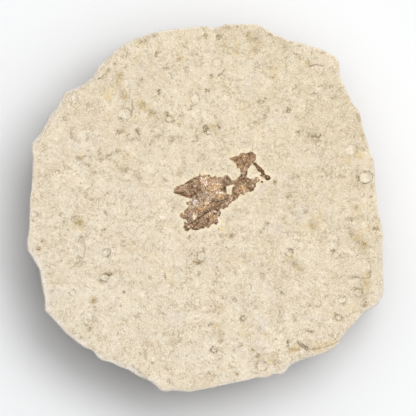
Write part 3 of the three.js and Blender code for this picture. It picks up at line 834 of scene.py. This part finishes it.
def ragged(outline, seed):
    """The outline in short steps, each pushed a little, so that the edge looks crystalline."""
    points = []
    for start, end in zip(outline, [*outline[1:], outline[0]]):
        count = max(1, round(np.hypot(*(end - start)) / FILM_STEP))
        points += [start + (end - start) * i / count for i in range(count)]
    at = flat(*np.transpose(points))
    shift = [0.045 * noise(at, 0.13, seed + k) + 0.025 * noise(at, 0.06, seed + 9 + k) for k in (0, 1)]
    return at[:, :2] + np.transpose(shift)


def veins(points):
    """From 0 to 1 along the veins."""
    bent = wobbled(points, 0.04, 0.2, 81)
    drawn = [(width, percent, line_field(bent, TENTH * np.array(line))[0][0])
             for width, percent, line in VEINS]
    drawn += [(width, PLAIN_STRENGTH, np.abs(gap_from(bent, x, y, radius)))
              for x, y, radius, width in VEIN_RINGS]
    return np.max([percent / 100 * smoothstep(0.8, 0.3, gap / (width * TENTH))
                   for width, percent, gap in drawn], axis=0)


def film_fields(points):
    """The fly's tone and tints at the points, by name, as the material reads them."""
    pale, dark, vein = spots(points, PALE, 61), spots(points, DARK, 69), veins(points)
    light = spots(points, LIGHT, 75, bend=0.2)
    return {
        "tone": 0.46 + 0.44 * pale - 0.38 * dark - 0.42 * vein * (1 - pale) + 0.27 * light,
        "warmth": 0.45 * spots(points, OCHRE, 65) - 0.45 * spots(points, ASH, 63),
        "rust": spots(points, RUST, 67),
    }


def film_height(at, depth, fields):
    """Height of the film over TOP."""
    rise = 0.05 + 0.06 * smoothstep(0, 0.25, depth)
    near, following = grains(wobbled(at, 0.05, 0.2, 71), 0.17, 72)
    facets = 0.035 * (following - near) + 0.035 * rough(at, 0.4, 3, 73)
    marks = 0.04 * (0.5 - fields["tone"])
    return bedding_level(at) + np.maximum(rise + facets + marks, 0.015)


def sides(face):
    """A face's edges, in its own direction."""
    return list(zip(face, face[1:] + face[:1]))


def rim_edges(faces):
    """The edges that only one face uses, in that face's direction."""
    seen = {side: True for face in faces for side in sides(face)}
    return [(a, b) for a, b in seen if (b, a) not in seen]


def largest_group(faces):
    """The largest group of faces that meet along edges."""
    owner = {side: k for k, face in enumerate(faces) for side in sides(face)}
    left, best = set(range(len(faces))), []
    while left:
        group, waiting = [], [left.pop()]
        while waiting:
            k = waiting.pop()
            group.append(k)
            beside = {owner.get((b, a)) for a, b in sides(faces[k])} & left
            left -= beside
            waiting += sorted(beside)
        best = max(best, group, key=len)
    return [faces[k] for k in sorted(best)]


def one_sheet(faces):
    """The faces without stray crumbs and without corners that only touch."""
    while True:
        faces = largest_group(faces)
        corners, uses = np.unique([a for a, _ in rim_edges(faces)], return_counts=True)
        touching = set(corners[uses > 1].tolist())
        if not touching:
            return faces
        faces = [f for f in faces if not touching & set(f)]


def film_sheet(loops, seed):
    """A sheet of small triangles inside an outline and outside its holes: points and faces."""
    loops = [ragged(loop, seed + 5 * (k > 0)) for k, loop in enumerate(loops)]
    low, high = loops[0].min(axis=0), loops[0].max(axis=0)
    rows = np.arange(low[1], high[1], FILM_STEP * math.sqrt(3) / 2)
    inner = np.array([(x + row % 2 * FILM_STEP / 2, y)
                      for row, y in enumerate(rows) for x in np.arange(low[0], high[0], FILM_STEP)])
    inner = inner[inside(inner, loops) & (gap_to(inner, loops) > 0.6 * FILM_STEP)]
    edges, start = [], 0
    for loop in loops:
        index = np.arange(len(loop))
        edges += np.transpose([start + index, start + np.roll(index, -1)]).tolist()
        start += len(loop)
    sites = np.concatenate([*loops, inner])
    made = geometry.delaunay_2d_cdt([Vector(p) for p in sites], edges, [], 4, 1e-7)
    plan, faces = np.array([tuple(p) for p in made[0]]), np.array(made[2])
    kept = faces[inside(plan[faces].mean(axis=1), loops)]
    used, faces = np.unique(one_sheet([tuple(f) for f in kept.tolist()]), return_inverse=True)
    return plan[used], faces.reshape(-1, 3)


def fly_mesh():
    """The film and its crumb as thin closed plates: vertices, faces and fields."""
    turns = np.arange(24) / 24 * math.tau
    x, y, radius = CRUMB
    crumb = np.transpose([x + radius * np.cos(turns), y + radius * np.sin(turns)])
    blocks, faces, count = [], [], 0
    for k, loops in enumerate((FLY_LOOPS, [crumb])):
        plan, tops = film_sheet(loops, 91 + 20 * k)
        at = flat(*plan.T)
        height = film_height(at, gap_to(at, loops), film_fields(at))
        blocks += [flat(*plan.T, TOP + height), flat(*plan.T, TOP - BEDDING_DROP - FILM_SINK)]
        under = count + len(plan)
        faces += (tops + count).tolist() + (tops[:, ::-1] + under).tolist()
        faces += [(b + count, a + count, a + under, b + under)
                  for a, b in rim_edges([tuple(f) for f in tops.tolist()])]
        count += 2 * len(plan)
    points = np.concatenate(blocks)
    return points, faces, film_fields(points * (1, 1, 0))


fly = mesh_object("fly_film", *fly_mesh())

# ---- shading ----


def linear(*levels):
    """An sRGB colour, each part from 0 to 255, as linear light."""
    shares = np.array(levels) / 255
    return tuple(np.where(shares <= 0.04045, shares / 12.92, ((shares + 0.055) / 1.055) ** 2.4))


class Shading:
    """A node tree under way, with short names for the shader nodes that it is made of."""

    def __init__(self, tree):
        self.tree = tree

    def feed(self, socket, value):
        """Give a socket a link or a value; a colour's alpha is 1."""
        if isinstance(value, bpy.types.NodeSocket):
            self.tree.links.new(value, socket)
        else:
            socket.default_value = (*value, 1) if socket.type == "RGBA" else value

    def make(self, kind, values=(), **settings):
        """The outputs of a new node with the given settings, and values by input."""
        node = self.tree.nodes.new("ShaderNode" + kind)
        for name, value in settings.items():
            setattr(node, name, value)
        for socket, value in dict(values).items():
            self.feed(node.inputs[socket], value)
        return node.outputs

    def math(self, operation, first, second=0):
        return self.make("Math", {0: first, 1: second}, operation=operation)[0]

    def plus(self, *parts):
        return reduce(partial(self.math, "ADD"), parts)

    def minus(self, first, second):
        return self.math("SUBTRACT", first, second)

    def times(self, *parts):
        return reduce(partial(self.math, "MULTIPLY"), parts)

    def most(self, *parts):
        return reduce(partial(self.math, "MAXIMUM"), parts)

    def weighed(self, *parts):
        """The sum of noises about their middle value, each times its weight."""
        return self.plus(*(self.times(self.minus(value, 0.5), weight) for value, weight in parts))

    def fade(self, value, low, high, bottom=0, top=1):
        """`bottom` below `low`, `top` above `high`, eased between; falling if low > high."""
        if low > high:
            low, high, bottom, top = high, low, top, bottom
        values = enumerate((value, low, high, bottom, top))
        return self.make("MapRange", values, interpolation_type="SMOOTHSTEP")[0]

    def near(self, value, middle, reach):
        """1 where the value is at the middle, and nothing beyond the reach."""
        return self.fade(self.math("ABSOLUTE", self.minus(value, middle)), reach, 0.25 * reach)

    def vector(self, operation, first, second):
        return self.make("VectorMath", {0: first, 1: second}, operation=operation)

    @cached_property
    def place(self):
        """The place on the object, in millimetres."""
        return self.vector("MULTIPLY", self.make("TexCoord")["Object"], (1 / MM,) * 3)[0]

    def squeezed(self, times):
        """The place with its height stretched, so that a pattern turns into flat beds."""
        return self.vector("MULTIPLY", self.place, (1 / times, 1 / times, times / 2))[0]

    def bent(self, reach, size):
        """The place, pushed aside by noise."""
        push = self.vector("SUBTRACT", self.noise(size, output="Color"), (0.5, 0.5, 0.5))[0]
        return self.vector("ADD", self.place, self.vector("MULTIPLY", push, (reach,) * 3)[0])[0]

    def split(self, vector):
        return self.make("SeparateXYZ", {0: vector})

    def given(self, name, output="Fac"):
        """A named value of the mesh."""
        return self.make("Attribute", attribute_name=name)[output]

    def noise(self, size, detail=2, roughness=0.5, at=None, output="Fac", twist=0):
        values = {"Vector": at or self.place, "Scale": 1 / size, "Detail": detail,
                  "Roughness": roughness, "Distortion": twist}
        return self.make("TexNoise", values)[output]

    def cells(self, size, at, feature="F1", output="Distance"):
        return self.make("TexVoronoi", {"Vector": at, "Scale": 1 / size}, feature=feature)[output]

    def lots(self, size, at):
        """Three random values for each cell."""
        return self.split(self.cells(size, at, output="Color"))

    def mix(self, share, first, second, **settings):
        values = {0: share, 6: first, 7: second}
        return self.make("Mix", values, data_type="RGBA", **settings)[2]

    def coated(self, colour, *coats):
        """The colour under coats, each a share and its own colour."""
        for share, coat in coats:
            colour = self.mix(share, colour, coat)
        return colour

    def tinted(self, colour, *tints):
        """The colour times each of the tints."""
        for tint in tints:
            colour = self.mix(1, colour, tint, blend_type="MULTIPLY")
        return colour

    def ramp(self, value, *stops):
        """A colour read off stops, each a position and a colour."""
        output = self.make("ValToRGB", {0: value})[0]
        elements = output.node.color_ramp.elements
        while len(elements) < len(stops):
            elements.new(0.5)
        for element, (position, colour) in zip(elements, stops):
            element.position = position
            element.color = (*colour, 1)
        return output

    def bump(self, height, depth):
        return self.make("Bump", {"Height": height, "Distance": depth * MM})[0]


def shaded(block, shader, look):
    """A material or world whose main shader's inputs are set by look(shading)."""
    block.use_nodes = True
    shading = Shading(block.node_tree)
    for socket, value in look(shading).items():
        shading.feed(block.node_tree.nodes[shader].inputs[socket], value)
    return block


def coat(piece, name, look):
    """Give a piece a new material."""
    material = shaded(bpy.data.materials.new(name), "Principled BSDF", look)
    piece.data.materials.append(material)


# ---- the limestone ----


def threads(s, at, size, width):
    """Short curly dark threads, in some places only."""
    line = s.near(s.noise(size, 1.5, at=at), 0.5, width)
    return s.times(line, s.fade(s.noise(2.2 * size), 0.5, 0.6))


def fleck(s, at, size, reach, share):
    """Irregular dark specks in some of the cells of a random pattern."""
    lot = s.lots(size, at)
    ragged_gap = s.plus(s.cells(size, at), s.times(s.noise(0.15), 0.12 / size))
    gap = s.minus(ragged_gap, s.times(lot[0], reach))
    return s.times(s.fade(gap, 0.09 / size, 0.03 / size), s.fade(lot[1], 0.45, 0.75), share)


def shell_bits(s, at):
    """Random dark curls and shell edges, as a share."""
    gap = s.math("ABSOLUTE", s.minus(s.cells(1.5, at), 0.26))
    shells = s.times(s.fade(gap, 0.07, 0.015), s.fade(s.lots(1.5, at)[2], 0.6, 0.75), 0.5)
    shells = s.times(shells, s.fade(s.noise(0.4), 0.48, 0.6))
    curls = s.most(threads(s, at, 0.7, 0.03), threads(s, at, 0.36, 0.05))
    return s.most(s.times(curls, 0.42), shells)


def drawn_marks(s):
    """Darkness of the listed rings and cracks, and the pale insides of the rings."""
    ring_x, ring_y, ring_share = s.split(s.given("ring", "Vector"))
    _, stroke, stroke_share = s.split(s.given("stroke", "Vector"))
    crumble = s.fade(s.noise(0.16, 3, 0.7), 0.38, 0.55, 0.3, 1)
    sway = s.minus(s.noise(0.35), 0.5)
    radius = s.math("SQRT", s.plus(s.times(ring_x, ring_x), s.times(ring_y, ring_y)))
    reach = s.plus(s.times(s.minus(radius, 1), s.given("ring_size")), s.times(sway, 0.3))
    arcs = s.fade(s.noise(0.45), 0.42, 0.58, 0.2, 1)
    ring = s.times(s.near(reach, 0, 0.11), crumble, ring_share, arcs)
    hollow = s.times(s.fade(reach, 0, -0.15), ring_share, 0.7)
    line = s.near(s.plus(stroke, s.times(sway, 0.15)), 0, 0.11)
    return s.most(ring, s.times(line, stroke_share, crumble)), hollow


def ledge_lines(s):
    """Thin dark beds just inside the edge, the pale strip outside them, and a painted highlight along
    the edge.
    """
    inward, share, light = s.split(s.given("edge", "Vector"))
    swung = s.plus(inward, s.times(s.minus(s.noise(0.7), 0.5), 0.25))
    broken = s.fade(s.noise(0.5, 3, 0.6), 0.42, 0.52, 0.15, 1)
    lines = s.most(s.near(swung, 0.2, 0.07), s.near(swung, 0.4, 0.06))
    # rim is a painted highlight along the slab's outermost edge
    rim = s.times(s.fade(inward, 0.22, 0.1), s.fade(s.noise(0.9), 0.35, 0.6, 0.45, 0.9), light)
    return s.times(lines, share, broken), s.times(s.fade(swung, 0.45, 0.35), share), rim


def stains(s, clots):
    """Tan, grey and brown-grey patches, random and listed, as coats."""
    tan = s.fade(s.noise(1.9, 3, 0.65, twist=1), 0.56, 0.7, 0, 0.3)
    tan = s.most(tan, s.times(s.given("stain"), 0.6))
    tan = s.times(tan, s.fade(s.noise(0.3, 3, 0.7, twist=1.2), 0.42, 0.6, 0.25, 1.15))
    grey = s.fade(s.noise(2.3, 3, 0.65, twist=1), 0.54, 0.68, 0, 0.6)
    grey = s.times(s.most(s.given("grey"), grey), s.fade(clots, 0.6, 0.35, 0.2, 0.45))
    crumble = s.fade(s.noise(0.15, 3, 0.75), 0.6, 0.42, 0.15, 1.4)
    smudge = s.times(s.given("smudge"), crumble, s.fade(clots, 0.65, 0.35, 0.6, 1.1), 0.92)
    return (tan, linear(230, 200, 132)), (grey, linear(222, 212, 206)), (smudge, linear(138, 112, 68))


def darker_wall(s, clots, mottle):
    """The broken wall's darker, cracked beds, darker still towards the foot, and where they take over,
    as a coat.
    """
    beds = s.noise(0.7, 4, 0.6, at=s.squeezed(3))
    beds = s.plus(s.weighed((beds, 1), (mottle, 0.8), (clots, 0.7)), 0.5)
    colour = s.mix(s.fade(beds, 0.25, 0.75), linear(160, 146, 120), linear(204, 191, 165))
    # darker towards the foot of the wall
    foot = s.fade(s.split(s.place)[2], 8.5, 2)
    cracks = s.fade(s.noise(0.6, 3, 0.6, at=s.squeezed(7)), 0.44, 0.36, 0, 0.45)
    colour = s.tinted(colour, s.mix(foot, (1, 1, 1), (0.62, 0.6, 0.57)))
    wall = s.given("wall")
    skin = s.plus(wall, s.times(s.minus(mottle, 0.5), 1.1))
    skin = s.times(s.fade(skin, 0.02, 0.45, 0, 0.92), s.fade(wall, 0, 0.05))
    return skin, s.mix(cracks, colour, linear(112, 98, 72))


def limestone(s):
    """Cream stone with random grain and shell bits, the listed marks and a darker wall."""
    bent = s.bent(0.3, 0.6)
    grain = s.noise(0.12, 2, 0.8)
    clots = s.noise(0.34, 3, 0.65, twist=0.8)
    mottle = s.noise(1.3, 3, 0.6, twist=0.6)
    cloud = s.noise(6)
    tone = s.weighed((clots, 1.25), (mottle, 0.75), (cloud, 0.3))
    shade = s.mix(s.fade(grain, 0.2, 0.75), (0.79, 0.765, 0.7), (1.13, 1.15, 1.21))
    x, y, _ = s.split(s.place)
    drift = s.plus(x, y, s.times(s.minus(cloud, 0.5), 30))
    hue = s.mix(s.fade(drift, -24, 24), (1, 0.9955, 1.005), (1, 0.984, 0.949))
    patch = s.mix(s.noise(1.2, 3, 0.7), (1, 1.03, 1.055), (1, 0.97, 0.945))

    dark = shell_bits(s, bent)
    flecks = s.most(fleck(s, bent, 0.65, 0.2, 0.45), fleck(s, bent, 1.6, 0.1, 0.55))
    tan, grey, smudge = stains(s, clots)
    marks, hollows = drawn_marks(s)
    ledges, strip, rim = ledge_lines(s)
    broken = s.times(s.given("broken"), s.fade(mottle, 0.3, 0.55, 0.3, 0.8))
    fresh = s.mix(s.fade(clots, 0.3, 0.7), linear(232, 222, 206), linear(244, 238, 226))
    halo = s.times(s.given("halo"), s.fade(clots, 0.35, 0.6, 0.35, 0.75))
    area = s.plus(s.times(s.given("shade"), 0.5), 0.5)

    colour = s.mix(s.fade(tone, -0.8, 0.5), linear(203, 183, 147), linear(246, 235, 213))
    colour = s.coated(colour, (dark, linear(156, 132, 90)), (flecks, linear(130, 106, 66)), tan, grey)
    colour = s.tinted(colour, s.ramp(
        area, (0, (1.06, 1.06, 1.06)), (0.5, (1, 1, 1)), (1, (0.84, 0.82, 0.76))))
    colour = s.coated(
        colour,
        smudge,
        (s.times(hollows, 0.65), linear(250, 242, 224)),
        (s.most(s.times(strip, 0.5), broken), fresh),
        (s.times(s.most(marks, s.times(ledges, 0.45)), 0.85), linear(118, 94, 60)),
        # painted highlight along the slab's outermost edge
        (rim, linear(254, 248, 236)),
        (halo, linear(252, 238, 206)),
        (s.times(s.given("gold"), 0.75), linear(250, 220, 120)),
        darker_wall(s, clots, mottle),
    )
    relief = s.weighed((grain, 0.3), (clots, 0.8), (dark, -0.6), (flecks, -0.7), (marks, -0.8))
    return {
        "Base Color": s.tinted(colour, shade, hue, patch),
        "Roughness": s.fade(clots, 0.3, 0.7, 0.82, 0.95),
        "Normal": s.bump(relief, 0.03),
    }


# ---- the film ----


def film_grain(s, grit, net, at):
    """The film's crystals as a tint: dark between them, and painted glints on a few."""
    lot = s.lots(0.15, at)
    grain = s.plus(s.weighed((lot[0], 0.65), (grit, 3.3), (net, 0.8)), 0.382)
    # painted glints: a few random crystals are brightened in the colour
    grain = s.plus(grain, s.times(s.fade(lot[1], 0.74, 0.82), 0.24))
    return s.ramp(grain, (0, (0.5, 0.415, 0.27)), (0.5, (1, 1, 1)), (1, (1.58, 1.8, 2.25)))


def film_warmth(s):
    """From ashy to ochre, as a tint."""
    warmth = s.weighed((s.noise(0.33, 1), 0.36), (s.noise(0.5), 0.45))
    return s.ramp(
        s.plus(warmth, s.given("warmth"), 0.5), (0, (0.95, 1.01, 1.22)), (0.3, (0.99, 1, 1.08)),
        (0.55, (1.01, 0.99, 0.97)), (0.8, (1.05, 0.96, 0.8)), (1, (1.09, 0.94, 0.66)))


def brown_film(s):
    """A brown crystalline film, from thick and dark to thin and light."""
    bent = s.bent(0.1, 0.2)
    grit = s.noise(0.1, 3, 0.8)
    flake = s.lots(0.36, bent)[0]
    net = s.fade(s.cells(0.16, bent, "DISTANCE_TO_EDGE"), 0, 0.3)
    tone = s.weighed((s.given("tone"), 1), (s.noise(0.3, 3, 0.6), 0.3), (flake, 0.16))
    colour = s.ramp(
        s.plus(tone, 0.5), (0, linear(84, 56, 30)), (0.2, linear(119, 90, 60)),
        (0.4, linear(152, 122, 91)), (0.6, linear(188, 157, 123)), (0.8, linear(224, 196, 162)),
        (1, linear(248, 228, 206)))
    redness = s.weighed((s.noise(0.42, 1), 0.5), (s.given("rust"), 0.8))
    red = s.mix(s.fade(redness, -0.6, 0.3), (1, 1.02, 1), (1.05, 0.85, 0.83))
    return {
        "Base Color": s.tinted(colour, film_warmth(s), red, film_grain(s, grit, net, bent)),
        "Roughness": s.fade(grit, 0.3, 0.7, 0.4, 0.7),
        "Normal": s.bump(s.weighed((net, 1), (grit, 0.8)), 0.015),
    }


coat(slab, "limestone", limestone)
coat(fly, "brown_film", brown_film)

# ---- floor, light, camera ----

FLOOR_HALF = 3000
FLOOR_LOOK = {"Base Color": (0.922, 0.93, 0.943), "Roughness": 1, "Specular IOR Level": 0}
LIGHT_BEARING = math.radians(45)  # the light comes from the upper right
SKY_TILT, SKY_FALL, SKY_STRENGTH = math.radians(20), 3, 2.02
# The softbox in metres: its size along the light's lean is the depth, and across it the width.
SOFTBOX_TILT, SOFTBOX_DISTANCE, SOFTBOX_POWER = math.radians(24), 3, 28.2
SOFTBOX_DEPTH, SOFTBOX_WIDTH = 1.2, 1.8
LENS, SENSOR = 1000, 36  # a long lens
FRAME_WIDTH, WIDEST_LEVEL = 41.6, 6.2  # the picture's width, at the slab's widest level
CAMERA_X = 0.25


def towards(tilt):
    """The direction that leans from straight up by `tilt` towards the light."""
    lean = math.sin(tilt)
    return Vector((lean * math.cos(LIGHT_BEARING), lean * math.sin(LIGHT_BEARING), math.cos(tilt)))


def sky(s):
    """A broad white light overhead that fades towards the far side."""
    lean = s.vector("DOT_PRODUCT", s.make("TexCoord")["Generated"], towards(SKY_TILT))["Value"]
    fall = s.math("POWER", s.most(lean, 0), SKY_FALL)
    return {"Color": (1, 1, 1), "Strength": s.times(fall, SKY_STRENGTH)}


def softbox():
    """A large soft light at the upper right."""
    lamp = bpy.data.lights.new("softbox", "AREA")
    lamp.shape = "RECTANGLE"
    lamp.size, lamp.size_y = SOFTBOX_WIDTH, SOFTBOX_DEPTH
    lamp.energy = SOFTBOX_POWER
    made = in_scene("softbox", lamp)
    aim = towards(SOFTBOX_TILT)
    across = Vector((-math.sin(LIGHT_BEARING), math.cos(LIGHT_BEARING), 0))
    made.location = aim * SOFTBOX_DISTANCE
    made.rotation_euler = Matrix((across, aim.cross(across), aim)).transposed().to_euler()
    made.visible_camera = False


def camera():
    """A camera far above the slab, looking straight down."""
    lens = bpy.data.cameras.new("camera")
    lens.lens, lens.sensor_width = LENS, SENSOR
    made = in_scene("camera", lens)
    made.location = Vector((CAMERA_X, 0, WIDEST_LEVEL + FRAME_WIDTH * LENS / SENSOR)) * MM
    return made


corners = FLOOR_HALF * np.array([(-1, -1, 0), (1, -1, 0), (1, 1, 0), (-1, 1, 0)])
floor = mesh_object("floor", corners, [(0, 1, 2, 3)], {})
coat(floor, "floor_white", lambda s: FLOOR_LOOK)
softbox()
scene = bpy.context.scene
scene.view_settings.view_transform = "Standard"
scene.world = shaded(bpy.data.worlds.new("studio"), "Background", sky)
scene.camera = camera()

# ---- the frame ----

for piece, node, slot in ((slab, "limestone_slab", "limestone"), (fly, "fly_remains", "brown_film")):
    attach(piece, "root")
    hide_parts(node)
